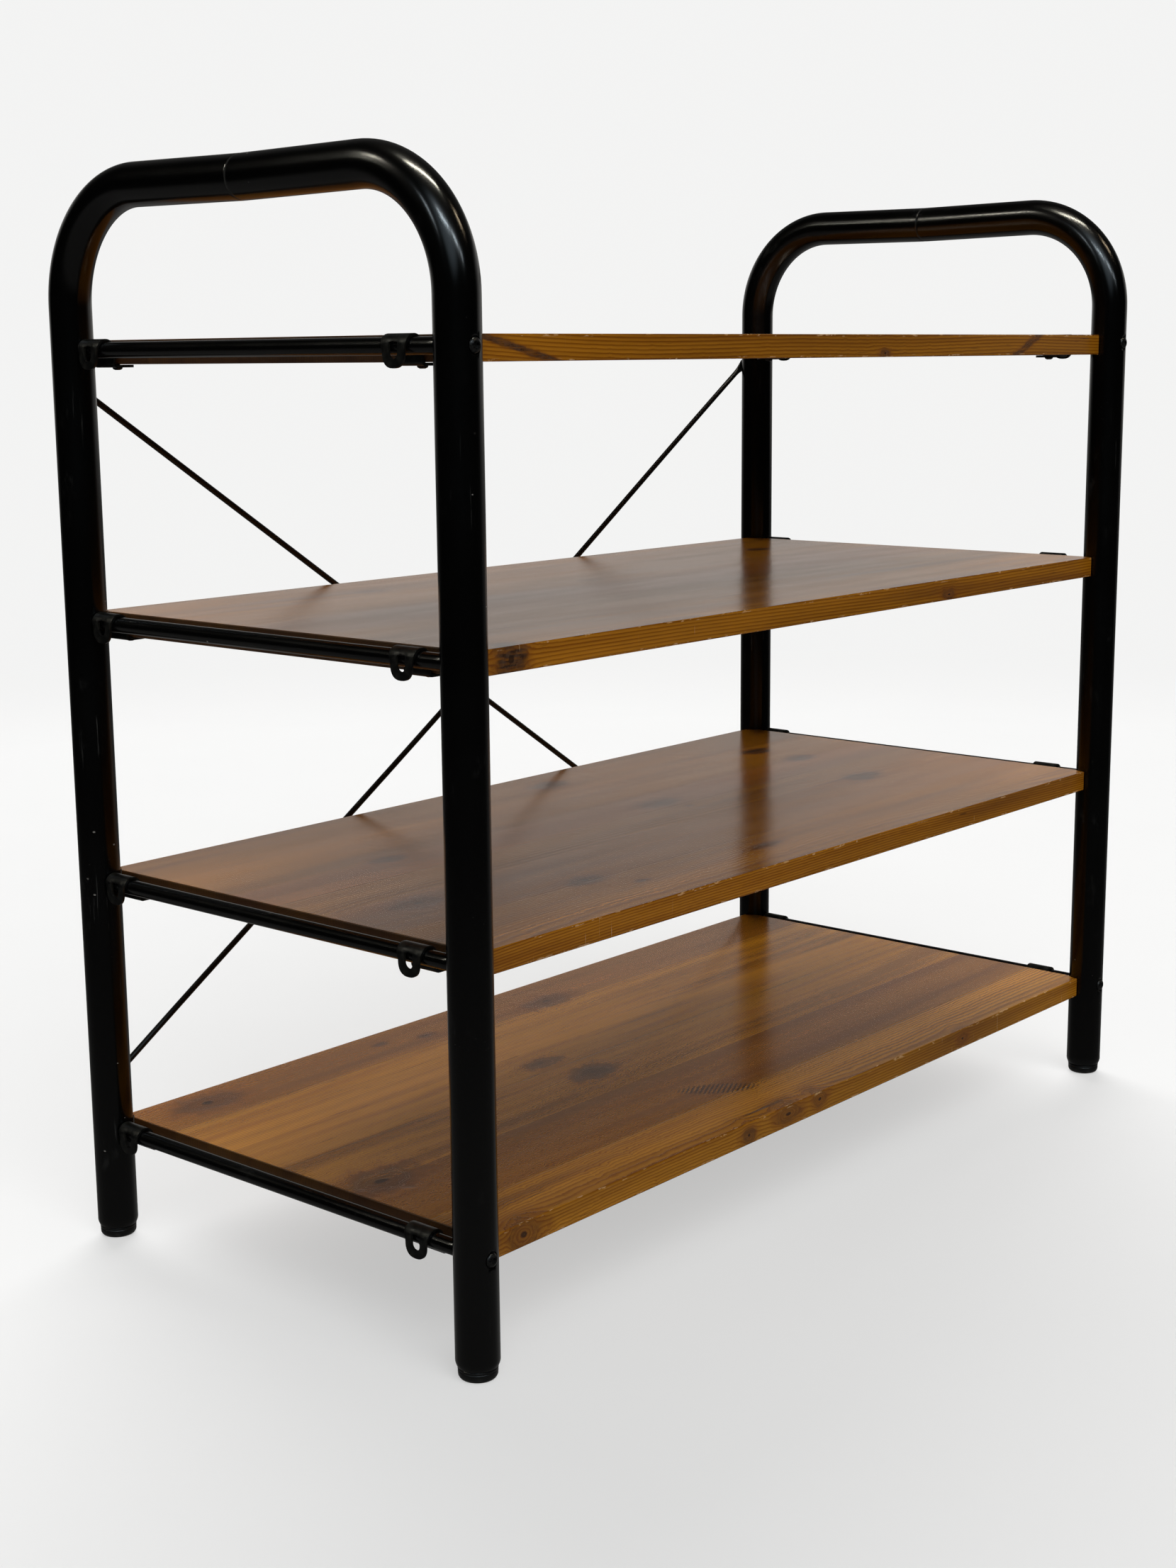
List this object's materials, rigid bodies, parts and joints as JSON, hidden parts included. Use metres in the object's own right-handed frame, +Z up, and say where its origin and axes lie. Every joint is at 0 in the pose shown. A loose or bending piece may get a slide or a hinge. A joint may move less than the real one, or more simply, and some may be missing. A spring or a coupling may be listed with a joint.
{
  "type": "bookcase with adjustable shelves",
  "caption": "Low open bookcase: black tubular side arches with wire cross braces behind, and pine boards that hook over cross rods with steel clips.",
  "frame": {"origin": "on the floor, at the middle of the footprint", "axes": "+X to the right along the shelves as seen from the front, +Y to the back where the braces are, +Z up"},
  "size_m": [0.9, 0.4428, 0.84],
  "materials": {
    "black_paint": "gloss black stoving paint over steel tube, lightly scuffed",
    "rod_paint": "gloss black paint over steel rod",
    "varnished_pine": "clear satin lacquer over edge-glued knotty pine, aged to amber",
    "clip_steel": "dark chemically blackened pressed steel with olive-grey sheen",
    "bolt_steel": "black oxide socket bolts",
    "sleeve_steel": "bare drawn steel tube, hidden inside the arch",
    "foot_plastic": "satin black moulded plastic"
  },
  "bodies": {
    "frame": {"arch_tube_front_left": "black_paint", "foot_cap_front_left": "foot_plastic", "rod_bolt_bottom_front_left": "bolt_steel", "rod_bolt_top_front_left": "bolt_steel", "arch_tube_back_left": "black_paint", "foot_cap_back_left": "foot_plastic", "rod_bolt_bottom_back_left": "bolt_steel", "rod_bolt_top_back_left": "bolt_steel", "arch_sleeve_left": "sleeve_steel", "arch_tube_front_right": "black_paint", "foot_cap_front_right": "foot_plastic", "rod_bolt_bottom_front_right": "bolt_steel", "rod_bolt_top_front_right": "bolt_steel", "arch_tube_back_right": "black_paint", "foot_cap_back_right": "foot_plastic", "rod_bolt_bottom_back_right": "bolt_steel", "rod_bolt_top_back_right": "bolt_steel", "arch_sleeve_right": "sleeve_steel", "cross_rod_1_left": "rod_paint", "cross_rod_1_right": "rod_paint", "cross_rod_2_left": "rod_paint", "cross_rod_2_right": "rod_paint", "cross_rod_3_left": "rod_paint", "cross_rod_3_right": "rod_paint", "cross_rod_4_left": "rod_paint", "cross_rod_4_right": "rod_paint", "brace_rising_left": "rod_paint", "brace_rising_right": "rod_paint", "brace_bolt_bottom_left": "bolt_steel", "brace_bolt_top_left": "bolt_steel", "brace_bolt_bottom_right": "bolt_steel", "brace_bolt_top_right": "bolt_steel"},
    "shelf_1_board": {"shelf_1": "varnished_pine", "shelf_clip_1_front_left": "clip_steel", "shelf_clip_1_back_left": "clip_steel", "shelf_clip_1_front_right": "clip_steel", "shelf_clip_1_back_right": "clip_steel"},
    "shelf_2_board": {"shelf_2": "varnished_pine", "shelf_clip_2_front_left": "clip_steel", "shelf_clip_2_back_left": "clip_steel", "shelf_clip_2_front_right": "clip_steel", "shelf_clip_2_back_right": "clip_steel"},
    "shelf_3_board": {"shelf_3": "varnished_pine", "shelf_clip_3_front_left": "clip_steel", "shelf_clip_3_back_left": "clip_steel", "shelf_clip_3_front_right": "clip_steel", "shelf_clip_3_back_right": "clip_steel"},
    "shelf_4_board": {"shelf_4": "varnished_pine", "shelf_clip_4_front_left": "clip_steel", "shelf_clip_4_back_left": "clip_steel", "shelf_clip_4_front_right": "clip_steel", "shelf_clip_4_back_right": "clip_steel"}
  },
  "joints": [
    {"name": "lift_shelf_1", "type": "slide", "parent": "frame", "child": "shelf_1_board", "axis": [0, 0, 1], "range_m": [0, 0.03]},
    {"name": "lift_shelf_2", "type": "slide", "parent": "frame", "child": "shelf_2_board", "axis": [0, 0, 1], "range_m": [0, 0.03]},
    {"name": "lift_shelf_3", "type": "slide", "parent": "frame", "child": "shelf_3_board", "axis": [0, 0, 1], "range_m": [0, 0.03]},
    {"name": "lift_shelf_4", "type": "slide", "parent": "frame", "child": "shelf_4_board", "axis": [0, 0, 1], "range_m": [0, 0.03]}
  ]
}
